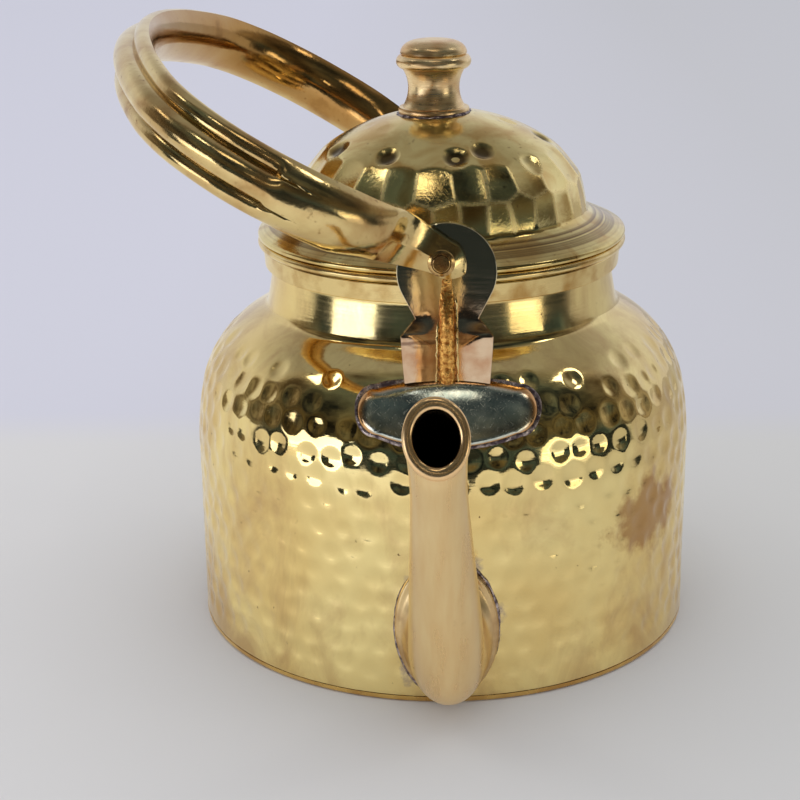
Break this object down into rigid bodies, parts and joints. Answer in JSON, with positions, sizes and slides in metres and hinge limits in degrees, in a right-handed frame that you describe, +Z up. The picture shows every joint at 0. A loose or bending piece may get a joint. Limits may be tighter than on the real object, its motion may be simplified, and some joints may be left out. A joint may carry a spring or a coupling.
{
  "type": "tea kettle",
  "caption": "Hammered brass tea kettle with a low curved spout, a domed lift-off lid with a turned knob, and a beaded bail that swings on riveted ears.",
  "frame": {"origin": "centre of the underside of the base, where the kettle stands", "axes": "+Z up; the spout points to -Y; the bail swings about an axis along Y and leans to -X at rest"},
  "size_m": [0.1409, 0.1895, 0.1536],
  "materials": {
    "body_brass": "polished and hammered",
    "base_brass": "plain sheet",
    "ring_brass": "polished",
    "spout_brass": "satin",
    "ear_brass": "polished, with file marks",
    "rivet_brass": "dull",
    "bail_brass": "polished",
    "lid_brass": "polished and hammered",
    "knob_brass": "polished"
  },
  "bodies": {
    "kettle": {"body_shell": "body_brass", "base_disc": "base_brass", "mouth_ring": "ring_brass", "spout": "spout_brass", "front_ear": "ear_brass", "back_ear": "ear_brass", "front_rivet": "rivet_brass", "back_rivet": "rivet_brass"},
    "bail": {"bail_handle": "bail_brass"},
    "lid": {"lid_shell": "lid_brass", "lid_rim": "ring_brass", "lid_knob": "knob_brass"}
  },
  "joints": [
    {"name": "bail_swing", "type": "hinge", "parent": "kettle", "child": "bail", "pos_m": [0, 0, 0.10538], "axis": [0, 1, 0], "range_deg": [-54, 164]},
    {"name": "lid_lift", "type": "slide", "parent": "kettle", "child": "lid", "axis": [0, 0, 1], "range_m": [0, 0.035]}
  ]
}
